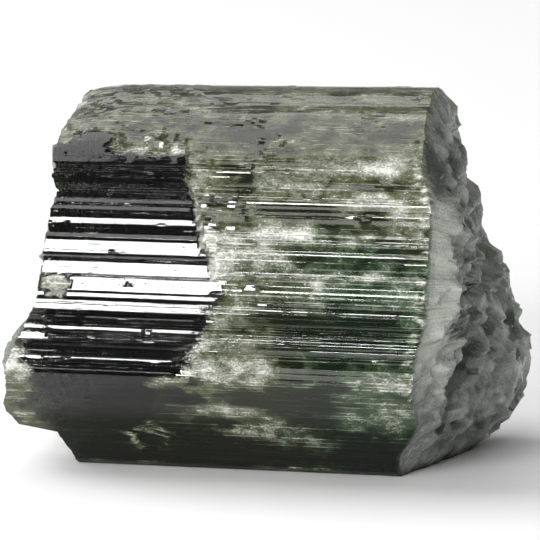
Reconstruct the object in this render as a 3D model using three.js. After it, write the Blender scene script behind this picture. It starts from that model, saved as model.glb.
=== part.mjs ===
// A rough tourmaline crystal: one stubby striated prism, broken off at both ends and lying on a flat side.
// Millimetres. X runs along the prism, -Y is the front with the bright striations, +Z is up.

import * as THREE from "three";

// Driving dimensions
const AXIS_HEIGHT = 8.6; // height of the prism's axis above the face it rests on
const AXIS_DEPTH = 0.2; // how far the axis lies behind the origin
const FRONT_LEFT = -8.45; // where the left break meets the upper front
const LIP_RIGHT = 11; // furthest right of the lip along the front of the right break
const LIP_ROUNDING = 1.1; // how far before the lip the striations stop
const REAR_RIGHT = 8.65; // where the rear of the right break stands at the top
const TOE_REACH = 1.75; // how much further left the low front edge runs out
const UNDERCUT = 1.75; // step back to the right under that edge
const CORNER_ROUNDING = 1.65; // rounding of the top left corner, along the prism
const SKIN_DEPTH = 0.34; // how far the worn patch lies below the dark outer skin
const WORN_FROM = -2.4; // where the worn patch starts at the top
const WORN_SLANT = 0.36; // how much further right it starts for each millimetre down
const GROOVE_DEPTH = 0.09; // deepest of the lengthwise grooves
const TOP_RISE = 0.025; // the upper half swells slightly to the right
const CROWN = 0.12; // extra height of the rounded top
const FOOT = 0.22; // extra height of the lowest facets

// Each prism face: the direction that it looks in, in degrees (0 front, 90 up, 180 back, 270 down),
// and its distance from the axis. Tourmaline's section is a triangle with strongly rounded sides.
const FACES = [
  { looks: -8, away: 8.72 },
  { looks: 6, away: 8.5 },
  { looks: 20, away: 8.35 },
  { looks: 38, away: 8.4 },
  { looks: 58, away: 8.6 },
  { looks: 78, away: 8.8 },
  { looks: 98, away: 8.85 },
  { looks: 120, away: 9.0 },
  { looks: 145, away: 9.2 },
  { looks: 172, away: 9.3 },
  { looks: 198, away: 9.3 },
  { looks: 224, away: 9.7 },
  { looks: 250, away: 9.5 },
  { looks: 324, away: 8.89 },
];
const CORNER_SHARPNESS = 60; // high powers give crisp corners between the faces
const REST_FROM = 236; // the flat under side covers these directions, in degrees
const REST_TO = 302;

// How the broken ends step along x on the way between two heights.
const LEFT_STEPS = [
  { shift: -0.3, from: 11, to: 8 },
  { shift: -TOE_REACH, from: 9, to: 4.2 },
  { shift: -0.3, from: 4.6, to: 2.6 },
  { shift: 0.65, from: 2.9, to: 1.75 },
  { shift: UNDERCUT, from: 1.95, to: 1.7 },
  { shift: 0.7, from: 1.7, to: 0 },
];
const LIP_STEPS = [
  { shift: -0.85, from: 12.7, to: 15.6 },
  { shift: -0.75, from: 15.4, to: 17.6 },
  { shift: -0.5, from: 8.2, to: 6 },
  { shift: -0.3, from: 6, to: 3.5 },
  { shift: -1.7, from: 3.2, to: 0.4 },
];
const REAR_STEPS = [
  { shift: 0.75, from: 12.2, to: 11.6 },
  { shift: 0.65, from: 9.9, to: 8.4 },
  { shift: 0.75, from: 8.2, to: 7.7 },
  { shift: 0.55, from: 7.4, to: 5.4 },
  { shift: 0.45, from: 5.2, to: 4.6 },
  { shift: 0.2, from: 4.5, to: 3.4 },
  { shift: -1.6, from: 2.2, to: 0 },
];
// Parts of the left break that stand out further, towards the rear and the top.
const LEFT_BULGES = [
  { reach: 0.4, rearFrom: -6.5, rearTo: -4, from: 13.4, to: 15 },
  { reach: 0.6, rearFrom: -2, rearTo: 4, from: 12, to: 15 },
];
const LEFT_NICK = { depth: 0.3, z: 13.3, halfZ: 0.5 };
const CORNER_FROM = 15; // height at which the top left corner starts to round off
const CORNER_HEIGHT = 2.72;
// Hollows in the right break.
const HOLLOWS = [
  { depth: 1.5, y: -3.2, z: 5.2, halfY: 1.2, halfZ: 1.5 },
  { depth: 0.6, y: -3.6, z: 8.6, halfY: 0.8, halfZ: 1 },
  { depth: 0.5, y: -3.2, z: 15.2, halfY: 1.6, halfZ: 2 },
];
const LIP_BACK = -5.2; // where the lip of the right break starts to fall back to its rear part
const REAR_FRONT = 4.6;
const WAVE_HEIGHT = 0.16; // broad waves of a break
const RIPPLE_HEIGHT = 0.07; // narrow ones

// Mesh fineness
const AROUND = 76; // steps around the prism
const CAP_RINGS = 9; // rings across each broken end
const SIDE_RINGS = 18; // rings along the prism

const { clamp, degToRad, euclideanModulo } = THREE.MathUtils;

// Smooth 0 to 1 step; runs backwards where "from" is the larger.
function ease(from, to, value) {
  const t = clamp((value - from) / (to - from), 0, 1);
  return t * t * (3 - 2 * t);
}

// Sum of the steps passed at this height.
function stepped(steps, z) {
  return steps.reduce((sum, step) => sum + step.shift * ease(step.from, step.to, z), 0);
}

// Distance from the axis to the prism's skin in one direction.
function skinRadius(angle) {
  let sum = 0;
  for (const face of FACES) {
    const facing = Math.cos(angle - degToRad(face.looks));
    if (facing > 0.02) sum += (facing / face.away) ** CORNER_SHARPNESS;
  }
  const radius = sum ** (-1 / CORNER_SHARPNESS);
  const down = -Math.sin(angle);
  return down > 0.02 ? Math.min(radius, AXIS_HEIGHT / down) : radius;
}

// Lengthwise grooves: a repeatable uneven depth for each direction, none under the crystal.
function grooveDepth(step, angle) {
  const degrees = euclideanModulo(THREE.MathUtils.radToDeg(angle), 360);
  if (degrees > REST_FROM && degrees < REST_TO) return 0;
  const uneven = euclideanModulo(Math.sin(step * 12.9898) * 43758.5453, 1);
  return GROOVE_DEPTH * uneven;
}

// The worn patch: right of a slanting broken edge, the upper front has lost its outer skin.
function wornDepth(x, z, angle) {
  const edge = WORN_FROM + WORN_SLANT * (15.3 - z);
  const upperFront = ease(9.6, 10.8, z) * ease(degToRad(88), degToRad(74), angle);
  const right = ease(8.6, 7.6, x);
  return angle < Math.PI ? SKIN_DEPTH * upperFront * ease(edge, edge + 0.8, x) * right : 0;
}

// Low waves of a conchoidal break.
function breakWaves(y, z) {
  const broad = Math.sin(1.05 * y + 0.6 * z) * Math.sin(0.8 * z - 0.5 * y + 1);
  const narrow = Math.sin(2.3 * y - 1.4 * z + 2) * Math.sin(1.9 * z + 0.9 * y);
  return WAVE_HEIGHT * broad + RIPPLE_HEIGHT * narrow;
}

// Left break: slanting, rounded at the top, with a thin toe low at the front and an undercut.
function leftEnd(y, z, inward) {
  const high = clamp((z - CORNER_FROM) / CORNER_HEIGHT, 0, 1);
  let x = FRONT_LEFT + stepped(LEFT_STEPS, z) + CORNER_ROUNDING * (1 - Math.sqrt(1 - high * high));
  x += LEFT_NICK.depth * Math.exp(-(((z - LEFT_NICK.z) / LEFT_NICK.halfZ) ** 2));
  for (const bulge of LEFT_BULGES) {
    x -= bulge.reach * ease(bulge.rearFrom, bulge.rearTo, y) * ease(bulge.from, bulge.to, z);
  }
  return x + breakWaves(y, z) * ease(0, 0.3, inward);
}

// Right break: a rounded lip behind the front faces, a groove, then the stepped rear part.
function rightEnd(y, z, inward, angle) {
  const lip = LIP_RIGHT + stepped(LIP_STEPS, z);
  const rear = REAR_RIGHT + stepped(REAR_STEPS, z);
  let x = THREE.MathUtils.lerp(lip, rear, ease(LIP_BACK, REAR_FRONT, y));
  for (const hollow of HOLLOWS) {
    const across = (y - hollow.y) / hollow.halfY;
    const up = (z - hollow.z) / hollow.halfZ;
    x -= hollow.depth * Math.exp(-(across ** 2) - up ** 2);
  }
  x += 1.4 * breakWaves(y + 2, z) * ease(0, 0.3, inward);
  const front = clamp(1.4 * Math.cos(angle - degToRad(15)), 0, 1);
  const edge = lip - LIP_ROUNDING + 0.35 * ease(15, 17.6, z);
  x -= front * (x - edge) * (1 - ease(0, 0.16, inward));
  return x - 0.25 * (1 - front) * (1 - ease(0, 0.06, inward));
}

// Places one point. "ring" counts from the left break's middle to the right break's middle.
function place(step, ring) {
  const rings = 2 * CAP_RINGS + SIDE_RINGS;
  const angle = (step / AROUND) * 2 * Math.PI;
  const rim = Math.min(ring, rings - ring) / CAP_RINGS;
  const outward = clamp(rim, 0, 1) ** 0.8;
  const along = clamp((ring - CAP_RINGS) / SIDE_RINGS, 0, 1);
  const inward = 1 - outward;

  const full = skinRadius(angle) - grooveDepth(step, angle);
  const rough = { y: -full * Math.cos(angle), z: full * Math.sin(angle) };
  const roughX = THREE.MathUtils.lerp(FRONT_LEFT, LIP_RIGHT - LIP_ROUNDING, along);
  const shrink = 1 - wornDepth(roughX, AXIS_HEIGHT + rough.z, angle) / full;
  const y = AXIS_DEPTH + rough.y * outward * shrink;
  let z = Math.max(AXIS_HEIGHT + rough.z * outward * shrink, 0);
  const x = THREE.MathUtils.lerp(leftEnd(y, z, inward), rightEnd(y, z, inward, angle), along);
  if (z > 9) z += ((z - 9) / 9) * TOP_RISE * x;
  z += CROWN * ease(14, 17, z) - FOOT * ease(4.2, 0, z);
  return new THREE.Vector3(x, y, z);
}

// The crystal is a sphere's net of points, pulled onto the prism: its poles become the two breaks.
function crystalGeometry() {
  const rings = 2 * CAP_RINGS + SIDE_RINGS;
  const geometry = new THREE.SphereGeometry(1, AROUND, rings);
  const points = geometry.getAttribute("position");
  for (let ring = 0; ring <= rings; ring += 1) {
    for (let step = 0; step <= AROUND; step += 1) {
      const point = place(step % AROUND, ring);
      points.setXYZ(ring * (AROUND + 1) + step, point.x, point.y, point.z);
    }
  }
  geometry.computeBoundingBox();
  const middle = geometry.boundingBox.getCenter(new THREE.Vector3());
  geometry.translate(-middle.x, -middle.y, -geometry.boundingBox.min.z);
  geometry.computeVertexNormals();
  return geometry;
}

const tourmaline = new THREE.MeshStandardMaterial({ color: 0x2b3529, roughness: 0.28, metalness: 0 });

const crystal = new THREE.Mesh(crystalGeometry(), tourmaline);
crystal.name = "tourmaline_crystal";

const model = new THREE.Group();
model.add(crystal);

export default model;
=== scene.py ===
"""A rough tourmaline crystal: a stubby striated prism, broken at both ends, lying on a pale floor."""

import bisect
import math
import random

import bmesh
import bpy
from bpy.props import FloatProperty, FloatVectorProperty, IntProperty, PointerProperty
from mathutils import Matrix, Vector, noise


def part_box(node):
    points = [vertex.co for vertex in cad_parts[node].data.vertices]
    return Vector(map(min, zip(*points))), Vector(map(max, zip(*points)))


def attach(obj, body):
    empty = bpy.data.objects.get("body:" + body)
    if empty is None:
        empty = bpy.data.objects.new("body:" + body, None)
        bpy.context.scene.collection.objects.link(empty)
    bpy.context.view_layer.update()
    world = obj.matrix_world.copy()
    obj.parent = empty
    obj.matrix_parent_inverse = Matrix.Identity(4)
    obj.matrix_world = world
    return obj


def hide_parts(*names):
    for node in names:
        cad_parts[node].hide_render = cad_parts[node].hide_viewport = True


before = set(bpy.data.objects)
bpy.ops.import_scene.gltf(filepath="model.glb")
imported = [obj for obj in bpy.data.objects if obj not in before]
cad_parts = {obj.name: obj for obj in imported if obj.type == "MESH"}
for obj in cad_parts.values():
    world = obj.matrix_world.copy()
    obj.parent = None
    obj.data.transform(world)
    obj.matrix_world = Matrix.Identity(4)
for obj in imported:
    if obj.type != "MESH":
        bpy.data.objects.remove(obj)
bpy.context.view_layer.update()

bl_info = {
    "name": "Tourmaline crystal",
    "version": (1, 0, 0),
    "blender": (4, 5, 0),
    "location": "3D View > Sidebar > Crystal",
    "description": "Grows a rough striated tourmaline crystal and sets up its stage",
    "category": "Add Mesh",
}

NODE = "tourmaline_crystal"

# ---------------------------------------------------------------- form of the prism, in millimetres
# Each prism face: the direction it looks in (0 front, 90 up, 180 back, 270 down) and its distance
# from the axis.
FACES = (
    (-8, 8.72), (6, 8.5), (20, 8.35), (38, 8.4), (58, 8.6), (78, 8.8), (98, 8.85), (120, 9.0),
    (145, 9.2), (172, 9.3), (198, 9.3), (224, 9.7), (250, 9.5), (324, 8.89),
)
CORNER_SHARPNESS = 60  # high powers give crisp corners between the faces
AXIS_HEIGHT = 8.6  # above the face that the crystal rests on
AXIS_DEPTH = 0.2  # behind the origin
FRONT_LEFT = -8.45  # where the left break meets the upper front
LIP_RIGHT = 11.0  # furthest right of the lip along the front of the right break
REAR_RIGHT = 8.65  # where the rear of the right break stands at the top
LIP_BACK, REAR_FRONT = -5.2, 4.6  # the right break falls back from its lip between these
LIP_ROUNDING = 1.1  # how far before the lip the striations stop
TOE_REACH = 1.75  # how much further left the low front edge runs out
UNDERCUT = 1.75  # step back to the right under that edge
CORNER_ROUNDING, CORNER_FROM, CORNER_HEIGHT = 1.65, 15.0, 2.72  # of the top left corner
NICK_DEPTH, NICK_HEIGHT, NICK_HALF = 0.3, 13.3, 0.5  # under that corner
TOP_RISE, RISE_FROM = 0.025, 9  # the upper half swells slightly to the right
CROWN, FOOT = 0.12, 0.22  # extra height of the top and of the lowest facets
SKIN_DEPTH = 0.34  # how far the worn zone lies below the dark outer skin
# Steps of the breaks along x, on the way between two heights: (shift, from, to).
LEFT_STEPS = (
    (-0.3, 11, 8), (-TOE_REACH, 9, 4.2), (-0.3, 4.6, 2.6), (0.65, 2.9, 1.75), (UNDERCUT, 1.95, 1.7),
    (0.7, 1.7, 0),
)
LIP_STEPS = ((-0.85, 12.7, 15.6), (-0.75, 15.4, 17.6), (-0.5, 8.2, 6), (-0.3, 6, 3.5), (-1.7, 3.2, 0.4))
REAR_STEPS = (
    (0.75, 12.2, 11.6), (0.65, 9.9, 8.4), (0.75, 8.2, 7.7), (0.55, 7.4, 5.4), (0.45, 5.2, 4.6),
    (0.2, 4.5, 3.4), (-1.6, 2.2, 0),
)
# Hollows in the right break: (depth, middle y, middle z, half width, half height).
HOLLOWS = ((1.5, -3.2, 5.2, 1.2, 1.5), (0.6, -3.6, 8.6, 0.8, 1), (0.5, -3.2, 15.2, 1.6, 2))
WAVE_HEIGHT, RIPPLE_HEIGHT = 0.16, 0.07  # broad and narrow waves of a break

# How growth strips look: (share of them, kind, lowest, highest, width factor). The kind is either the
# elevation that a strip looks in or its tilt against the smooth skin, in degrees.
PLAIN = ((1.0, "tilts", 0, 0, 1.0),)
SOFT = ((1.0, "tilts", -1.5, 1.5, 1.0),)
UNEVEN = ((1.0, "tilts", -5, 5, 1.0),)
STRIATED = ((0.66, "looks", 5.5, 9, 1.4), (0.18, "looks", 24, 30, 1.0), (0.16, "looks", 12.5, 17, 0.6))
WORN_LOW = ((0.78, "looks", 5, 8.5, 1.5), (0.1, "looks", 24, 30, 0.5), (0.12, "looks", 12.5, 16, 0.2))
WORN_MIDDLE = ((0.8, "looks", 33, 41, 1.3), (0.16, "tilts", -5, 5, 1.0), (0.04, "looks", 12.5, 16, 0.25))
WORN_HIGH = ((0.96, "tilts", -6, 6, 1.3), (0.04, "looks", 12.5, 16, 0.25))
# Stretches of the section, by direction in degrees: (from, to, narrowest strip, widest strip, look).
SKIN_STRETCHES = (
    (-90, -57, 0.5, 0.8, PLAIN),
    (-57, -25, 0.3, 0.6, SOFT),
    (-25, 33, 0.05, 0.16, STRIATED),
    (33, 50, 0.1, 0.24, SOFT),
    (50, 100, 0.35, 0.8, UNEVEN),
    (100, 236, 0.4, 0.9, UNEVEN),
    (236, 270, 0.5, 0.8, PLAIN),
)
WORN_STRETCHES = (
    (-40, -25, 0.2, 0.4, SOFT),
    (-25, 24, 0.06, 0.17, WORN_LOW),
    (24, 36, 0.09, 0.22, WORN_MIDDLE),
    (36, 52, 0.1, 0.25, WORN_HIGH),
    (52, 100, 0.25, 0.5, WORN_HIGH),
)
# Growth strips placed on purpose: (lowest height, highest height, elevation they look in).
PLACED_STRIPS = (
    (4.9, 5.0, 26), (5.5, 5.66, 15), (5.66, 6.1, 7), (6.57, 6.66, 26), (6.76, 6.86, 25), (7.02, 7.16, 15),
    (7.16, 7.62, 7), (7.62, 7.7, 27), (7.7, 7.98, 7), (7.98, 8.1, 15), (8.12, 8.24, 14), (8.27, 8.43, 15),
    (8.43, 8.6, 8), (8.62, 8.78, 16), (8.78, 8.9, 8), (8.91, 9.53, 14.5), (9.53, 9.6, 8), (9.6, 9.7, 26),
    (9.72, 10.26, 15), (10.26, 10.44, 7.5), (10.46, 10.56, 26), (10.56, 10.68, 7.5), (10.7, 11.25, 15),
    (11.25, 11.4, 7.5), (11.4, 11.58, 29), (11.58, 12.04, 8), (12.06, 12.29, 15), (12.29, 12.66, 8),
    (12.68, 12.83, 28), (12.83, 13.0, 8), (13.02, 13.14, 28),
)
WORN_STRIPS = (
    (5.28, 5.31, 15), (6.2, 6.23, 15), (6.38, 6.415, 15), (6.52, 6.545, 15), (6.69, 6.72, 15),
    (6.84, 6.87, 15), (7.02, 7.05, 15), (7.9, 7.93, 15), (8.05, 8.09, 15), (8.25, 8.29, 15),
    (8.5, 8.525, 15), (8.72, 8.745, 15), (8.95, 8.975, 15), (9.13, 9.21, 15), (9.42, 9.445, 15),
    (9.74, 9.76, 15), (10.0, 10.02, 15), (10.4, 10.46, 15), (10.62, 10.64, 15), (10.9, 10.96, 15),
    (11.32, 11.345, 15), (11.6, 11.625, 15), (13.24, 13.3, 14), (14.56, 14.62, 14),
)
RISER = 0.007  # how far the two lines of points of a strip stay inside its edges
DARK_LOOK = 7.0  # highest elevation that mirrors only the dark gap under the lights
LEFTMOST, RIGHTMOST = -10.95, 12.05  # the relief of the breaks is trimmed here
CLOSEST = 0.006  # smallest gap between two lines of points
# Widest gaps between lines of points, by direction in degrees: (from, to, widest).
WIDEST = ((50, 100, 0.22), (100, 228, 0.42))


def ease(start, end, value):
    """Smooth 0 to 1 step; runs backwards where start is the larger."""
    t = min(max((value - start) / (end - start), 0.0), 1.0)
    return t * t * (3 - 2 * t)


def lerp(a, b, t):
    return a + (b - a) * t


def hill(y, z, middle_y, middle_z, half_y, half_z):
    """Soft hill, 1 at its middle."""
    return math.exp(-((y - middle_y) / half_y) ** 2 - ((z - middle_z) / half_z) ** 2)


def skin_radius(angle):
    """Distance from the axis to the prism's skin."""
    total = 0.0
    for looks, away in FACES:
        facing = math.cos(angle - math.radians(looks))
        if facing > 0.02:
            total += (facing / away) ** CORNER_SHARPNESS
    radius = total ** (-1 / CORNER_SHARPNESS)
    down = -math.sin(angle)
    return min(radius, AXIS_HEIGHT / down) if down > 0.02 else radius


def skin_point(angle, lift=0.0):
    """Point of the section, as (y, z)."""
    radius = skin_radius(angle) + lift
    return AXIS_DEPTH - radius * math.cos(angle), AXIS_HEIGHT + radius * math.sin(angle)


def break_waves(y, z):
    """Low waves of a conchoidal break."""
    broad = math.sin(1.05 * y + 0.6 * z) * math.sin(0.8 * z - 0.5 * y + 1)
    narrow = math.sin(2.3 * y - 1.4 * z + 2) * math.sin(1.9 * z + 0.9 * y)
    return WAVE_HEIGHT * broad + RIPPLE_HEIGHT * narrow


def stepped(steps, z):
    """Sum of the steps passed at this height."""
    return sum(shift * ease(start, end, z) for shift, start, end in steps)


def left_end(y, z, inward):
    """Left break: slanting, rounded at the top, with a thin toe low at the front and an undercut."""
    high = min(max((z - CORNER_FROM) / CORNER_HEIGHT, 0.0), 1.0)
    x = FRONT_LEFT + stepped(LEFT_STEPS, z) + CORNER_ROUNDING * (1 - math.sqrt(1 - high * high))
    x += NICK_DEPTH * math.exp(-((z - NICK_HEIGHT) / NICK_HALF) ** 2)
    x -= 0.4 * ease(-6.5, -4, y) * ease(13.4, 15, z) + 0.6 * ease(-2, 4, y) * ease(12, 15, z)
    return x + break_waves(y, z) * ease(0, 0.3, inward)


def right_end(y, z, inward, angle):
    """Right break: a rounded lip behind the front faces, a groove, then the stepped rear part."""
    lip, rear = LIP_RIGHT + stepped(LIP_STEPS, z), REAR_RIGHT + stepped(REAR_STEPS, z)
    x = lerp(lip, rear, ease(LIP_BACK, REAR_FRONT, y))
    x -= sum(depth * hill(y, z, *where) for depth, *where in HOLLOWS)
    x += 1.4 * break_waves(y + 2, z) * ease(0, 0.3, inward)
    front = min(max(1.4 * math.cos(angle - math.radians(15)), 0.0), 1.0)
    edge = lip - LIP_ROUNDING + 0.35 * ease(15, 17.6, z)
    x -= front * (x - edge) * (1 - ease(0, 0.16, inward))
    return x - 0.25 * (1 - front) * (1 - ease(0, 0.06, inward))


# ---------------------------------------------------------------- strips around the prism
class Section:
    """Running length around the section, from the middle of the under side up the front."""

    SAMPLES = 3600

    def __init__(self):
        self.angles = [math.radians(-90 + 360 * i / self.SAMPLES) for i in range(self.SAMPLES + 1)]
        points = [Vector(skin_point(angle)) for angle in self.angles]
        self.arcs = [0.0]
        for a, b in zip(points, points[1:]):
            self.arcs.append(self.arcs[-1] + (b - a).length)
        self.heights = [point.y for point in points]

    def angle_at(self, arc):
        index = min(max(bisect.bisect(self.arcs, arc) - 1, 0), self.SAMPLES - 1)
        span = self.arcs[index + 1] - self.arcs[index]
        share = (arc - self.arcs[index]) / span if span else 0.0
        return lerp(self.angles[index], self.angles[index + 1], share)

    def arc_at(self, degrees):
        return self.arcs[round((degrees + 90) / 360 * self.SAMPLES)]

    def arc_at_height(self, height):
        """Running length where the front reaches this height."""
        index = next(i for i, z in enumerate(self.heights) if z >= height and i > 0 and z > 0.01)
        return self.arcs[index]

    def looks_at(self, arc):
        """Elevation that the smooth skin looks in at this place, in degrees."""
        a = Vector(skin_point(self.angle_at(arc - 0.1)))
        b = Vector(skin_point(self.angle_at(arc + 0.1)))
        along = b - a
        return math.degrees(math.atan2(along.x, along.y))


def calm_tilt(looks, smooth):
    """Tilt of a strip where it no longer stands out: dark low down, smooth skin higher up."""
    return min(looks, DARK_LOOK) - smooth if smooth < 24 else 0.0


def growth_strips(rng, section, stretches, placed=()):
    """(start, end, tilt, calm tilt) of every strip of these stretches, by running length."""
    strips = []
    for start_deg, end_deg, narrow, broad, looks_like in stretches:
        arc, end = section.arc_at(start_deg), section.arc_at(end_deg)
        if strips:
            arc = max(arc, strips[-1][1])
        while arc < end - 1e-6:
            low, high, looks = next((strip for strip in placed if strip[1] > arc + 0.02), (end, end, 0))
            if low <= arc + 0.02 and high > low:
                smooth = section.looks_at((arc + high) / 2)
                strips.append((arc, high, looks - smooth, calm_tilt(looks, smooth)))
                arc = high
                continue
            stop = min(low, end)
            weights = [row[0] for row in looks_like]
            _, kind, least, most, factor = rng.choices(looks_like, weights)[0]
            tilt, calm = rng.uniform(least, most), 0.0
            if kind == "looks":
                smooth = section.looks_at(arc + narrow)
                tilt, calm = tilt - smooth, calm_tilt(tilt, smooth)
            width = rng.uniform(narrow, broad) * factor
            if arc + width > stop - 0.5 * narrow:
                width = stop - arc
            strips.append((arc, arc + width, tilt, calm))
            arc += width
    return strips


class Profile:
    """Saw-tooth relief of a run of growth strips."""

    def __init__(self, strips):
        self.strips = strips
        self.starts = [strip[0] for strip in strips]

    def edges(self):
        """Running lengths of the two edges of every strip."""
        for start, end, *_ in self.strips:
            gap = min(RISER, 0.12 * (end - start))
            yield from (start + gap, end - gap)

    def number(self, arc):
        """Which strip is here, or -1 outside the run."""
        index = bisect.bisect(self.starts, arc) - 1
        return index if index >= 0 and arc <= self.strips[index][1] else -1

    def middle(self, arc):
        """Running length in the middle of the strip that is here."""
        index = self.number(arc)
        return arc if index < 0 else sum(self.strips[index][:2]) / 2

    def lift(self, arc, calm=False):
        index = self.number(arc)
        if index < 0:
            return 0.0
        start, end, *tilts = self.strips[index]
        half = 0.5 * (end - start) * math.tan(math.radians(tilts[calm]))
        return lerp(half, -half, (arc - start) / (end - start)) - abs(half)


class Column:
    """One line of vertices along the prism."""

    def __init__(self, section, skin, under, arc):
        self.arc = arc
        self.angle = section.angle_at(arc)
        self.radius = skin_radius(self.angle)
        self.strip, self.lift = skin.number(arc), skin.lift(arc)
        self.under_strip, self.under_lift = under.number(arc), under.lift(arc)
        self.under_calm = under.lift(arc, calm=True)
        self.step_z = skin_point(section.angle_at(under.middle(arc)))[1]
        self.y, self.z = self.point(0)
        self.left = left_end(self.y, self.z, 0)
        self.left += 0.12 * noise.noise((self.strip * 3.3, 0.5, 0))
        self.left += 0.1 * noise.noise((self.z * 3, self.y * 3, 2))
        self.right = right_end(self.y, self.z, 0, self.angle)
        self.right -= 0.16 * abs(noise.noise((self.strip * 2.1, 4.5, 0)))
        self.tilt_skin = math.radians(section.looks_at(arc))
        self.worn_edge = worn_edge(self.z)
        self.patches = [patch for patch in PATCHES if abs(self.z - patch[1]) < 2.2 * patch[3] + 1.2]

    def point(self, relief):
        """The column's (y, z), standing out from the smooth skin by relief."""
        radius = self.radius + relief
        return AXIS_DEPTH - radius * math.cos(self.angle), AXIS_HEIGHT + radius * math.sin(self.angle)


def strip_columns(rng):
    """Columns of vertices at the edges of all growth strips, outer skin and worn zone together."""
    section = Section()
    placed, lines = ([(section.arc_at_height(low), section.arc_at_height(high), looks)
                      for low, high, looks in strips] for strips in (PLACED_STRIPS, WORN_STRIPS))
    skin = Profile(growth_strips(rng, section, SKIN_STRETCHES, placed))
    under = Profile(growth_strips(rng, section, WORN_STRETCHES, lines))
    arcs = sorted(skin.edges())
    for arc in under.edges():
        index = bisect.bisect(arcs, arc)
        if arc - arcs[index - 1] > CLOSEST and arcs[min(index, len(arcs) - 1)] - arc > CLOSEST:
            arcs.insert(index, arc)
    filled = []
    for arc, following in zip(arcs, arcs[1:] + arcs[-1:]):
        steps = 1
        for start_deg, end_deg, widest in WIDEST:
            if section.arc_at(start_deg) <= arc < section.arc_at(end_deg):
                steps = math.ceil((following - arc) / widest)
        filled += [lerp(arc, following, i / steps) for i in range(steps)]
    return [Column(section, skin, under, arc) for arc in filled]


# ---------------------------------------------------------------- worn, milky and broken places
WORN_FROM, WORN_TOP = -2.4, 15.3  # x and z at which the broken edge of the outer skin starts
WORN_SLANT, WORN_LOW_SLANT = 0.36, 0.45  # how far it runs along x for each millimetre down
WORN_BEND = 9.6  # height at which it turns back
TOP_WEAR = (14.5, 15.9)  # heights between which the wear spreads over the whole crystal
LOW_WEAR = (5.2, 4.4)  # heights between which the wear turns patchy
PALE_RIM = (9.4, 14.2)  # heights between which the broken edge has a pale rim
FRONT_TO = 100  # the worn zone ends at this direction, in degrees
CHIP = (-7.9, 9.15, 0.75, 0.55)  # middle x, middle z, half width, half height
DENT = (-3.9, 1.5, 0.85)  # middle x, middle z, half width
# Two small bright plates at the left end: lowest and highest height, and where they start along x.
PLATES, PLATE_EDGE = ((6.5, 6.88), (6.98, 7.45)), -8.25
PLATE_LOOK = 15  # elevation they look in, in degrees
# Relief of the breaks, from coarse to fine: (facet size, height of steps, slope).
LEFT_FACETS = ((2.4, 0.2, 0.7), (0.9, 0.2, 0.8), (0.45, 0.16, 0.7))
RIGHT_FACETS = ((2.1, 0.3, 0.8), (0.9, 0.26, 0.9), (0.45, 0.2, 0.8))
PATCHES = (
    # middle x, middle z, half length, half height, turn in degrees, how much milkier
    (2.2, 11.75, 2.5, 0.42, 0, 0.5),
    (0.8, 10.9, 1.8, 0.4, 0, 0.25),
    (7.0, 13.4, 1.8, 0.5, -8, 0.42),
    (7.2, 15.1, 2.2, 0.45, 0, 0.42),
    (6.9, 14.0, 1.9, 0.22, -6, -0.4),
    (4.9, 12.7, 3.1, 0.46, -3, -0.42),
    (1.5, 12.9, 0.4, 0.6, 0, 0.25),
    (0.3, 14.0, 0.3, 1.0, 0, -0.5),
    (0.5, 10.2, 1.3, 1.3, 0, 0.3),
    (7.0, 10.9, 3.2, 0.8, 0, -0.3),
    (6.3, 9.8, 1.4, 0.25, 0, 0.42),
    (5.6, 7.4, 4.2, 1.3, 0, -0.5),
    (-0.4, 6.4, 1.8, 1.8, 0, 0.26),
    (1.9, 5.3, 1.4, 0.8, 0, 0.42),
    (6.0, 5.5, 2.8, 0.8, 0, -0.36),
    (-0.6, 4.6, 1.6, 0.8, 0, 0.2),
    (1.4, 5.2, 0.4, 0.4, 0, -0.5),
    (8.2, 5.6, 1.6, 0.8, 0, 0.2),
    (1.7, 2.35, 3.9, 0.75, -22, 0.8),
    (7.4, 3.3, 2.4, 1.5, 0, 0.68),
    (0.0, 0.4, 14.0, 1.0, 0, -0.2),
    (-4.5, 15.9, 3.5, 0.6, 0, 0.15),
    (4.0, 16.0, 5.0, 0.5, 0, -0.15),
)


def worn_edge(z):
    """Where the broken edge of the dark outer skin runs, along x."""
    jag = 0.3 * noise.noise((3.1, z * 1.1, 0)) + 0.16 * noise.noise((7.7, z * 3.4, 0))
    jag += 0.1 * noise.noise((1.3, z * 11.0, 0))
    slanting = WORN_FROM + WORN_SLANT * (WORN_TOP - max(z, WORN_BEND))
    return slanting - WORN_LOW_SLANT * max(WORN_BEND - z, 0) + jag


def oval(x, z, middle_x, middle_z, half_x, half_z, turn=0.0):
    """1 in the middle of a turned oval, 0 well outside it."""
    c, s = math.cos(math.radians(turn)), math.sin(math.radians(turn))
    u, v = (x - middle_x) * c + (z - middle_z) * s, (z - middle_z) * c - (x - middle_x) * s
    return math.exp(-(u / half_x) ** 4 - (v / half_z) ** 2)


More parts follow.
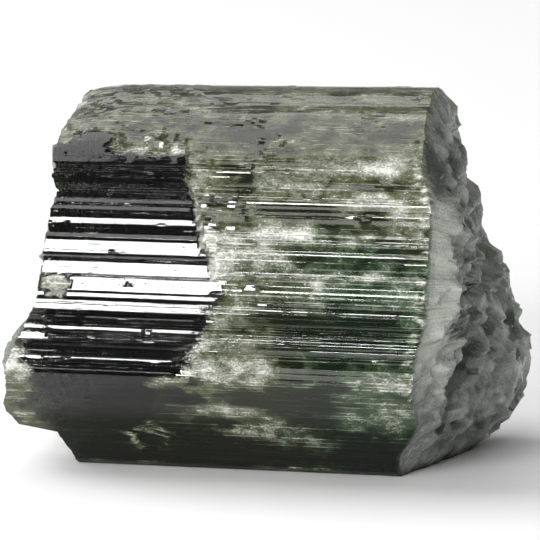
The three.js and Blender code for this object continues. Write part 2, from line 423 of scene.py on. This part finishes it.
class Spot:
    """What the surface is like at one place of the side."""

    def __init__(self, column, x):
        z = column.z
        self.front = column.angle < math.radians(FRONT_TO) and z > 0.3
        drift = noise.noise((x * 0.5, z * 0.9, 40))
        sway = noise.noise((x * 0.9, z * 1.8, 50))
        self.rim = self.chip = self.dent = self.ring = self.toe = self.plate = 0.0
        self.from_edge = x - column.worn_edge
        if not self.front:
            streak = noise.noise((x * 0.12, column.arc * 0.9, 8))
            self.worn = 0.22 + 0.5 * streak + 0.3 * ease(-7.5, -9, x) + 0.3 * ease(8.2, 9.6, x)
            self.milk = 0.24 + 0.3 * noise.noise((x * 0.15, column.arc * 0.6, 30))
            return
        fine = noise.noise((x * 2.3, z * 4, 60))
        top = ease(*TOP_WEAR, z - 0.5 * ease(-3, -6, x) + 0.9 * drift + 0.6 * sway + 0.4 * fine)
        self.worn = max(ease(0, 0.14 if z > WORN_BEND else 1.6, self.from_edge), top)
        patchy = ease(-1.8, 3.2, self.from_edge + 4 * drift + 2 * sway)
        self.worn = lerp(self.worn, patchy, ease(*LOW_WEAR, z))
        self.milk = 0.45 + 0.06 * ease(8.6, 9.4, z) * ease(1, 2, x) - 0.14 * ease(15, 16, z)
        self.milk -= 0.5 * ease(4.9, 4.1, z + 0.9 * drift + 0.6 * sway) + 0.22 * ease(2.4, 1.2, z)
        warped_x, warped_z = x + 1.4 * drift + 0.4 * sway, z + 0.3 * drift + 0.35 * sway
        for *where, more in column.patches:
            self.milk += more * oval(warped_x, warped_z, *where)
        rim_low, rim_high = PALE_RIM
        if rim_low < z < rim_high:
            ragged = 0.6 + noise.noise((x * 5, z * 7, 3))
            rim = ease(rim_low, 10, z) * ease(rim_high, 13.2, z)
            self.rim = rim * ragged * math.exp(-((self.from_edge - 0.12) / 0.16) ** 2)
        if x > 0 and 4 < z < 15:
            crumbs = ease(0.0, 0.3, noise.noise((x * 2.5, z * 4, 70)))
            self.milk += 0.5 * ease(0.9, 0.2, column.right - x) * crumbs
        if x < 0:
            chip_x, chip_z, half_x, half_z = CHIP
            away = math.hypot((x - chip_x) / half_x, (z - chip_z) / half_z)
            self.chip = ease(1.05, 0.8, away + 0.6 * fine)
            dent_x, dent_z, half = DENT
            away = math.hypot(x - dent_x, (z - dent_z) * 1.2) / half
            self.dent = max(1 - away * away, 0.0)
            self.ring = math.exp(-((away - 0.95) / 0.3) ** 2)
            # The thin toe at the low left front is olive and paler: partly its own olive colour, partly
            # painted light shining through the thin edge.
            self.toe = ease(-7.6, -10.4, x + sway) * ease(8.5, 4.5, z)
            on_plate = any(low < z < high for low, high in PLATES)
            self.plate = ease(PLATE_EDGE, PLATE_EDGE - 0.1, x) * on_plate


def side_relief(column, x, spot):
    """How far a point of the side stands out from the smooth skin."""
    z, across = column.z, column.arc
    upper_front = ease(9.5, 10.4, column.step_z) * ease(92, 76, math.degrees(column.angle))
    sunken = spot.worn * upper_front
    rugged = ease(0.1, 0.5, noise.noise((x * 0.4, across * 0.8, 21.0))) * ease(8.5, 9.5, z)
    rugged *= max(ease(12, 12.8, z), ease(3, 1, x))
    if z > WORN_BEND:
        rugged = max(rugged, 0.8 * ease(1.1, 0.3, spot.from_edge))
    rough = 0.09 * noise.noise((x * 1.1, across * 2.2, 1.0))
    rough += 0.06 * noise.noise((x * 3.0, across * 5.0, 5.0))
    lasting = ease(-0.22, -0.12, noise.noise((x * 0.09, column.under_strip * 1.7, 9.0)))
    lasting *= ease(0.6, 1.4, spot.from_edge) if z > WORN_BEND else 1.0
    under = lerp(column.under_calm, column.under_lift, lasting * (1 - 0.6 * ease(14.8, 15.8, z)))
    under = lerp(under, rough, 0.7 * rugged) - sunken * SKIN_DEPTH
    pit = ease(0.52, 0.7, noise.noise((x * 2.2, across * 5.0, 31.0)))
    relief = lerp(column.lift - 0.02 * pit, under, min(spot.worn, 1.0) if spot.front else 0.0)
    relief += spot.chip * (rough * 2 - 0.1) - 0.22 * spot.dent + 0.04 * spot.ring
    relief -= 0.3 * max(1 - (x - column.left) / 2.6, 0) ** 2 * ease(15, 17.2, z)
    low = 6.5 if z < 6.92 else 6.95
    flat = (low - z) * math.tan(math.radians(PLATE_LOOK) - column.tilt_skin)
    return lerp(relief, flat, spot.plate)


def facet_height(spot, middle, step, slope):
    """Height of one facet of a break, which tilts its own way."""
    away = spot - middle
    tilt_y, tilt_z = noise.noise(middle * 5.3 + Vector((9, 0, 0))), noise.noise(middle * 4.1)
    return step * noise.noise(middle * 3.7) + slope * (tilt_y * away.y + tilt_z * away.z)


def break_relief(y, z, size, step, slope):
    """Relief of a rough break: facets at different heights, with narrow slopes between them."""
    bend = Vector((0, noise.noise((2, y, z)), noise.noise((5, y, z)))) * 0.5
    spot = Vector((0.3, y, z)) / size + bend
    away, middles, *_ = noise.voronoi(spot)
    here, beside = (facet_height(spot, middle, step, slope) for middle in middles[:2])
    return size * lerp(here, beside, 0.5 * ease(0.22, 0.0, away[1] - away[0]))


def broken_point(column, left, y, z, inward):
    """(x, milkiness) of a point of a break; inward is 0 at its rim and 1 at its middle. On the right
    break the milkiness carries painted shade in the hollows and a paler lip that is partly painted light.
    """
    fade = ease(0, 0.12, inward)
    even = ease(0, 0.2, inward) * ease(1, 0.85, inward)
    coarse, *finer = LEFT_FACETS if left else RIGHT_FACETS
    fine = even * sum(break_relief(y, z, *facets) for facets in finer)
    rough = fade * break_relief(y, z, *coarse) + fine
    if left:
        x = left_end(y, z, inward) + (column.left - left_end(column.y, column.z, 0)) * (1 - fade)
        x += rough if rough > 0 else rough * lerp(1, 0.2, ease(11.5, 13, z))
        return x, 0.3 + 0.12 * ease(0.4, 0, inward) - 0.8 * fine
    x = right_end(y, z, inward, column.angle) + rough
    x += (column.right - right_end(column.y, column.z, 0, column.angle)) * (1 - fade)
    # Right break: the lip is paler, partly its own frost and partly painted light; the groove behind the
    # lip and the hollows are darker, painted shade.
    lip = ease(LIP_BACK, -6.4, y) * ease(3, 6, z)
    milk = 0.48 + 0.22 * lip - 0.3 * hill(y, z, -4.3, 14.6, 1.3, 3.2) + 0.8 * fine
    return x, milk - 0.4 * hill(y, z, -2.7, 5.0, 1.6, 1.4) - 0.2 * hill(y, z, -4.3, 8.8, 1.0, 2.4)


def place_points(mesh, columns, rings, cap):
    """Wraps a flat net of points round the crystal, from the middle of one break to the other's."""
    around = len(columns)
    names = ("worn", "milk", "broken", "olive", "dull_and_painted_shade")
    layers = {name: mesh.verts.layers.float.new(name) for name in names}
    side = rings - 2 * cap
    for vert in mesh.verts:
        ring = round((vert.co.y + 1) / 2 * rings)
        column = columns[round((vert.co.x + 1) / 2 * around) % around]
        along = min(max((ring - cap) / side, 0.0), 1.0)
        x = lerp(column.left, column.right, along)
        spot = Spot(column, x)
        full_y, full_z = column.point(side_relief(column, x, spot) if column.z > 0.02 else 0.0)
        inward = 1 - min(min(ring, rings - ring) / cap, 1.0)
        y, z = lerp(full_y, AXIS_DEPTH, inward), max(lerp(full_z, AXIS_HEIGHT, inward), 0.0)
        # the toe is paler: partly painted light shining through the thin edge
        milk, broken = spot.milk + 1.1 * spot.rim + 0.5 * spot.toe + 0.9 * spot.ring, 0.0
        if inward > 0:
            broken = ease(0, 0.05, inward)
            x, milk = broken_point(column, along < 0.5, y, z, inward)
        x = min(max(x, LEFTMOST), RIGHTMOST)
        toe = 0.7 * spot.toe * (1 - spot.plate)
        # olive on the toe: partly its own colour, partly painted light shining through the thin edge
        olive = max(1.4 * spot.toe, ease(6, 1, x) * 0.75, ease(10.5, 13, z))
        vert[layers["worn"]] = max(spot.worn, spot.rim, 0.8 * spot.chip, spot.ring, toe)
        vert[layers["milk"]] = milk + 0.45 * spot.chip
        vert[layers["broken"]] = broken
        vert[layers["olive"]] = olive - 0.7 * spot.chip
        # painted shade: the skin turns matt and darker towards the floor, below about 3.4 mm, less so
        # over the toe
        vert[layers["dull_and_painted_shade"]] = ease(3.4, 2.2, column.z) * (1 - 0.8 * spot.toe) * (1 - broken)
        if z > RISE_FROM:
            z += (z - RISE_FROM) / RISE_FROM * TOP_RISE * x
        z += CROWN * ease(14, 17, z) - FOOT * ease(4.2, 0, z)
        vert.co = (x, y, z)


# ---------------------------------------------------------------- shader helpers
IOR = 1.63  # of tourmaline
DULL_COVER = 0.85  # how much of the gloss the dullest skin loses


class Signal:
    """A number socket that can be used in sums."""

    def __init__(self, shader, socket):
        self.shader = shader
        self.socket = socket

    def _math(self, operation, first, second):
        inputs = {0: first, 1: second}
        return self.shader.number("ShaderNodeMath", {"operation": operation}, inputs)

    def __add__(self, other):
        return self._math("ADD", self, other)

    def __sub__(self, other):
        return self._math("SUBTRACT", self, other)

    def __rsub__(self, other):
        return self._math("SUBTRACT", other, self)

    def __mul__(self, other):
        return self._math("MULTIPLY", self, other)

    __radd__ = __add__
    __rmul__ = __mul__

    def clamped(self):
        settings = {"operation": "ADD", "use_clamp": True}
        return self.shader.number("ShaderNodeMath", settings, {0: self, 1: 0.0})

    def larger(self, other):
        return self._math("MAXIMUM", self, other)

    def eased(self, start, end, low=0.0, high=1.0):
        """Low below start and high above end, smooth between."""
        settings = {"interpolation_type": "SMOOTHSTEP"}
        inputs = {0: self, 1: start, 2: end, 3: low, 4: high}
        return self.shader.number("ShaderNodeMapRange", settings, inputs)


class Shader:
    """Builds the nodes of one material or world."""

    def __init__(self, block):
        block.use_nodes = True
        self.tree = block.node_tree
        self.tree.nodes.clear()

    def node(self, kind, settings=None, inputs=None):
        node = self.tree.nodes.new(kind)
        for name, value in (settings or {}).items():
            setattr(node, name, value)
        for key, value in (inputs or {}).items():
            self.feed(node.inputs[key], value)
        return node

    def feed(self, socket, value):
        if isinstance(value, Signal):
            value = value.socket
        if isinstance(value, bpy.types.NodeSocket):
            self.tree.links.new(value, socket)
        elif isinstance(value, tuple) and socket.type == "RGBA" and len(value) == 3:
            socket.default_value = (*value, 1.0)
        else:
            socket.default_value = value

    def number(self, kind, settings=None, inputs=None, output=0):
        return Signal(self, self.node(kind, settings, inputs).outputs[output])

    def places(self, scale):
        """Object coordinates in millimetres, stretched by scale."""
        source = self.node("ShaderNodeTexCoord").outputs["Object"]
        inputs = {0: source, 1: tuple(1000 * part for part in scale)}
        return self.node("ShaderNodeVectorMath", {"operation": "MULTIPLY"}, inputs).outputs[0]

    def noise(self, scale, detail=3.0, roughness=0.55, shift=0.0):
        """Noise from 0 to 1 whose features are about 1 / scale millimetres."""
        where = self.places(scale)
        inputs = {0: where, 1: (shift, shift * 0.7, shift * 1.3)}
        where = self.node("ShaderNodeVectorMath", {"operation": "ADD"}, inputs).outputs[0]
        inputs = {"Vector": where, "Scale": 1.0, "Detail": detail, "Roughness": roughness}
        return self.number("ShaderNodeTexNoise", {"noise_dimensions": "3D"}, inputs)

    def attribute(self, name):
        node = self.node("ShaderNodeAttribute", {"attribute_name": name})
        return Signal(self, node.outputs["Fac"])

    def mix(self, factor, a, b):
        """Colour a where factor is 0, colour b where it is 1."""
        node = self.node("ShaderNodeMix", {"data_type": "RGBA"})
        self.feed(node.inputs[0], factor)
        self.feed(node.inputs[6], a)
        self.feed(node.inputs[7], b)
        return node.outputs[2]


def tourmaline_material(look):
    material = bpy.data.materials.new("tourmaline")
    s = Shader(material)
    worn, milk, broken, dull_and_painted_shade = (s.attribute(name) for name in ("worn", "milk", "broken", "dull_and_painted_shade"))
    olive = (s.attribute("olive") + (s.noise((0.4, 0.5, 0.5), 3, 0.6, 5.0) - 0.5) * 1.6).clamped()

    clouds = s.noise((0.6, 0.95, 0.95), 6, 0.68, 7.0) - 0.5
    wisps = s.noise((0.4, 4, 4), 3, 0.6, 3.0) - 0.5
    grains = s.noise((9, 11, 11), 3, 0.75, 11.0) - 0.5
    threads = s.noise((0.06, 13, 13), 0, 0.5, 23.0)
    specks_and_glints = s.noise((8, 14, 14), 2, 0.5, 17.0)
    smudges = s.noise((1.2, 3, 3), 3, 0.6, 29.0)

    # How much of the surface is cloudy stone, and how milky it is.
    cover = (worn * 1.5 - 0.25 + clouds * 1.6 + grains * 0.8).eased(0.1, 0.6) * worn.eased(0.02, 0.25)
    cover = cover.larger(broken)
    tone = milk + clouds * 2.2 + wisps * 0.35
    tone = tone + grains * (tone.eased(0.2, 0.8) * 1.2 + 0.15)
    thread = threads.eased(0.63, 0.67) * smudges.eased(0.4, 0.5) * (1 - broken)
    # white flecks of micro-fractures in the cloudy stone, partly painted glints
    speck_and_glint = specks_and_glints.eased(0.67, 0.71) * tone.eased(0.35, 0.65) * cover
    tone = tone + thread * cover * 0.35 + speck_and_glint * 0.6

    # Colour of the cloudy stone and of the breaks.
    deep = s.mix(olive, tuple(look.deep_green), tuple(look.deep_olive))
    middle = s.mix(olive, tuple(look.green), tuple(look.olive))
    body = s.mix(tone.eased(0.1, 0.5), deep, middle)
    body = s.mix(tone.eased(0.5, 0.85), body, tuple(look.cloud))
    body = s.mix(tone.eased(0.85, 1.2), body, tuple(look.white))
    frosting = milk + clouds * 0.4 + wisps * 0.15 + grains * 0.5
    frosted = s.mix(frosting.eased(0.1, 1.0), tuple(look.frost_dark), tuple(look.frost_pale))
    body = s.mix(broken, body, frosted)
    # painted shade: the low skin is darkened towards the near-black shade colour
    body = s.mix(dull_and_painted_shade * 0.65 * (1 - tone.eased(0.3, 0.7)), body, tuple(look.shade))
    opaque = cover * (tone.eased(0.1, 0.5) * 0.4 + 0.58)

    # Gloss and fine relief.
    gloss = 0.03 + smudges.eased(0.55, 0.75) * 0.03 + cover * tone.eased(0.3, 0.8) * 0.12
    gloss = gloss + broken * 0.14
    height = thread * (cover * 0.6 + 0.1)
    height = height + grains * cover * (tone.eased(0.4, 0.9) * 0.6 + broken)
    bump = s.node("ShaderNodeBump", None, {"Strength": 0.5, "Distance": 0.00006, "Height": height})

    glass = s.node("ShaderNodeBsdfPrincipled", None, {
        "Base Color": tuple(look.glass), "Roughness": gloss, "IOR": IOR,
        "Transmission Weight": 1.0, "Normal": bump.outputs[0],
    })
    stone = s.node("ShaderNodeBsdfPrincipled", None, {
        "Base Color": body, "Roughness": gloss, "IOR": IOR, "Normal": bump.outputs[0],
    })
    matt = s.node("ShaderNodeBsdfPrincipled", None, {
        "Base Color": body, "Roughness": 0.5, "IOR": IOR, "Specular IOR Level": 0.12,
        "Normal": bump.outputs[0],
    })
    surface = s.node("ShaderNodeMixShader", None, {
        0: opaque, 1: glass.outputs[0], 2: stone.outputs[0],
    })
    surface = s.node("ShaderNodeMixShader", None, {
        0: dull_and_painted_shade * DULL_COVER, 1: surface.outputs[0], 2: matt.outputs[0],
    })
    absorb = s.node("ShaderNodeVolumeAbsorption", None, {
        "Color": tuple(look.absorb), "Density": look.density,
    })
    s.node("ShaderNodeOutputMaterial", None, {
        "Surface": surface.outputs[0], "Volume": absorb.outputs[0],
    })
    return material


def floor_material(colour):
    material = bpy.data.materials.new("pale_floor")
    s = Shader(material)
    mottle = s.noise((0.02, 0.02, 0.02), 2)
    tone = s.mix(mottle, tuple(0.97 * part for part in colour), tuple(colour))
    surface = s.node("ShaderNodeBsdfPrincipled", None, {"Base Color": tone, "Roughness": 0.7})
    s.node("ShaderNodeOutputMaterial", None, {"Surface": surface.outputs[0]})
    return material


# ---------------------------------------------------------------- settings
def colour(name, description, default):
    return FloatVectorProperty(name=name, description=description, default=default, size=3,
                               min=0.0, max=1.0, subtype="COLOR")


class CrystalShape(bpy.types.PropertyGroup):
    rings: IntProperty(name="Rings", description="Rings of points from break to break",
                       default=168, min=20, max=400)
    cap_rings: IntProperty(name="Break rings", description="Rings of points across each break",
                           default=34, min=4, max=80)
    seed: IntProperty(name="Seed", description="Chooses the pattern of growth strips", default=7)


class CrystalLook(bpy.types.PropertyGroup):
    glass: colour("Glass", "Tint of the clear tourmaline", (0.86, 0.93, 0.84))
    absorb: colour("Absorption", "Colour that passes through the tourmaline", (0.27, 0.56, 0.05))
    density: FloatProperty(name="Density", description="Absorption per metre", default=1100.0, min=0)
    deep_green: colour("Deep green", "Darkest cloudy tourmaline", (0.006, 0.016, 0.005))
    deep_olive: colour("Deep olive", "Darkest olive tourmaline", (0.018, 0.02, 0.006))
    green: colour("Green", "Cloudy green tourmaline", (0.042, 0.074, 0.036))
    olive: colour("Olive", "Cloudy olive tourmaline", (0.086, 0.093, 0.048))
    cloud: colour("Cloud", "Pale clouds in the tourmaline", (0.25, 0.26, 0.21))
    # White also colours the flecks, which are partly painted glints.
    white: colour("White", "Chips and threads", (0.68, 0.68, 0.62))
    # Painted shade: near-black colour laid on the lowest skin near the floor, where the crystal sits in
    # shadow.
    shade: colour("Shade", "Dull weathered skin near the floor", (0.003, 0.0036, 0.0028))
    frost_dark: colour("Break dark", "Darker part of the breaks", (0.035, 0.042, 0.034))
    frost_pale: colour("Break pale", "Paler part of the breaks", (0.48, 0.51, 0.455))


class StageSettings(bpy.types.PropertyGroup):
    floor: colour("Floor", "Colour of the floor", (0.9, 0.9, 0.9))
    floor_size: FloatProperty(name="Floor size", description="Side of the floor", default=4.0,
                              unit="LENGTH")
    azimuth: FloatProperty(name="Azimuth", description="Camera's direction round the crystal",
                           default=math.radians(12.5), subtype="ANGLE")
    elevation: FloatProperty(name="Elevation", description="Camera's height angle",
                             default=math.radians(10), subtype="ANGLE")
    distance: FloatProperty(name="Distance", description="Camera's distance", default=0.35,
                            unit="LENGTH")
    view_width: FloatProperty(name="View width", description="Width that the view takes in",
                              default=0.026, unit="LENGTH")


# ---------------------------------------------------------------- operators
SHARP_SKIN, SHARP_BREAK = 5, 24  # edges that turn more than this shade as sharp, in degrees
AIM = Vector((0.0, 0.0, 0.00884))  # the point that the camera and the lights look at, in metres
LIGHTS = (
    # name, (width, height) in metres, radiance, azimuth and elevation in degrees, distance in metres
    ("front_softbox", (0.26, 0.10), 24.0, -14, 20, 0.5),
    ("fill_softbox", (0.3, 0.14), 2.6, -16, 46, 0.5),
    ("side_softbox", (0.3, 0.3), 5.0, -100, 35, 0.5),
    ("top_softbox", (0.8, 0.6), 1.9, -110, 58, 0.7),
)
ROOM_FROM, ROOM_TO = -0.25, 0.55  # the white room brightens between these, from front to back
ROOM_DIM, ROOM_BRIGHT = 0.17, 0.5


def link_object(name, mesh_or_light):
    thing = bpy.data.objects.new(name, mesh_or_light)
    bpy.context.scene.collection.objects.link(thing)
    return thing


class CRYSTAL_OT_grow(bpy.types.Operator):
    """Grow the crystal"""

    bl_idname = "crystal.grow"
    bl_label = "Grow crystal"

    def execute(self, context):
        shape = context.scene.crystal_shape
        columns = strip_columns(random.Random(shape.seed))
        mesh = bmesh.new()
        bmesh.ops.create_grid(mesh, x_segments=len(columns), y_segments=shape.rings, size=1)
        place_points(mesh, columns, shape.rings, shape.cap_rings)
        bmesh.ops.remove_doubles(mesh, verts=mesh.verts, dist=1e-4)
        low = [min(v.co[i] for v in mesh.verts) for i in range(3)]
        high = [max(v.co[i] for v in mesh.verts) for i in range(3)]
        box_low, box_high = (Vector(corner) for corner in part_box(NODE))
        for i in range(3):
            room = box_high[i] - box_low[i]
            for vert in mesh.verts:
                share = (vert.co[i] - low[i]) / (high[i] - low[i])
                vert.co[i] = box_low[i] + share * room
        bmesh.ops.recalc_face_normals(mesh, faces=mesh.faces)
        if mesh.calc_volume(signed=True) < 0:
            bmesh.ops.reverse_faces(mesh, faces=mesh.faces)
        for face in mesh.faces:
            face.smooth = True
        broken = mesh.verts.layers.float["broken"]
        for edge in mesh.edges:
            sharp = lerp(SHARP_SKIN, SHARP_BREAK, max(vert[broken] for vert in edge.verts))
            edge.smooth = edge.calc_face_angle(0.0) < math.radians(sharp)
        data = bpy.data.meshes.new("tourmaline")
        mesh.to_mesh(data)
        mesh.free()
        data.materials.append(tourmaline_material(context.scene.crystal_look))
        crystal = link_object("crystal", data)
        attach(crystal, "root")
        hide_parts(NODE)
        return {"FINISHED"}


def point_at_crystal(thing, azimuth, elevation, distance):
    """Places a lamp or camera round the crystal and turns it that way."""
    back = Vector((math.sin(azimuth) * math.cos(elevation), -math.cos(azimuth) * math.cos(elevation),
                   math.sin(elevation)))
    thing.location = AIM + back * distance
    thing.rotation_euler = back.to_track_quat("Z", "Y").to_euler()


def area_light(name, size, radiance, azimuth, elevation, distance):
    """Rectangular soft light that looks at the crystal."""
    light = bpy.data.lights.new(name, "AREA")
    light.shape = "RECTANGLE"
    light.size, light.size_y = size
    light.energy = radiance * math.pi * size[0] * size[1]
    point_at_crystal(link_object(name, light), math.radians(azimuth), math.radians(elevation), distance)


def white_room():
    """World: pure white to look at, bright behind the crystal and dim in front of it."""
    world = bpy.data.worlds.new("white_room")
    s = Shader(world)
    direction = s.node("ShaderNodeTexCoord").outputs["Generated"]
    depth = s.number("ShaderNodeSeparateXYZ", None, {0: direction}, output=1)
    fade = depth.eased(ROOM_FROM, ROOM_TO, ROOM_DIM, ROOM_BRIGHT)
    seen = Signal(s, s.node("ShaderNodeLightPath").outputs["Is Camera Ray"])
    glow = s.node("ShaderNodeBackground", None, {"Strength": seen.larger(fade)})
    s.node("ShaderNodeOutputWorld", None, {0: glow.outputs[0]})
    bpy.context.scene.world = world


class CRYSTAL_OT_stage(bpy.types.Operator):
    """Set up the floor, lights and camera"""

    bl_idname = "crystal.stage"
    bl_label = "Set up stage"

    def execute(self, context):
        stage = context.scene.crystal_stage
        mesh = bmesh.new()
        bmesh.ops.create_grid(mesh, x_segments=1, y_segments=1, size=stage.floor_size / 2)
        data = bpy.data.meshes.new("floor")
        mesh.to_mesh(data)
        mesh.free()
        data.materials.append(floor_material(stage.floor))
        floor = link_object("floor", data)

        for light in LIGHTS:
            area_light(*light)
        white_room()

        camera = bpy.data.cameras.new("camera")
        camera.sensor_width = 36
        camera.lens = camera.sensor_width * stage.distance / stage.view_width
        camera.clip_start = 0.01
        viewer = link_object("camera", camera)
        point_at_crystal(viewer, stage.azimuth, stage.elevation, stage.distance)
        context.scene.camera = viewer
        context.scene.view_settings.view_transform = "Standard"
        return {"FINISHED"}


class CRYSTAL_PT_panel(bpy.types.Panel):
    bl_label = "Crystal"
    bl_idname = "CRYSTAL_PT_panel"
    bl_space_type = "VIEW_3D"
    bl_region_type = "UI"
    bl_category = "Crystal"

    def draw(self, context):
        for operator in OPERATORS:
            self.layout.operator(operator.bl_idname)
        for group in ("crystal_shape", "crystal_look", "crystal_stage"):
            settings = getattr(context.scene, group)
            box = self.layout.box()
            for name in type(settings).__annotations__:
                box.prop(settings, name)


OPERATORS = (CRYSTAL_OT_grow, CRYSTAL_OT_stage)
CLASSES = (CrystalShape, CrystalLook, StageSettings, *OPERATORS, CRYSTAL_PT_panel)


def register():
    for cls in CLASSES:
        bpy.utils.register_class(cls)
    bpy.types.Scene.crystal_shape = PointerProperty(type=CrystalShape)
    bpy.types.Scene.crystal_look = PointerProperty(type=CrystalLook)
    bpy.types.Scene.crystal_stage = PointerProperty(type=StageSettings)


def unregister():
    for name in ("crystal_shape", "crystal_look", "crystal_stage"):
        delattr(bpy.types.Scene, name)
    for cls in reversed(CLASSES):
        bpy.utils.unregister_class(cls)


def main():
    register()
    bpy.ops.crystal.grow()
    bpy.ops.crystal.stage()


if __name__ == "__main__":
    main()
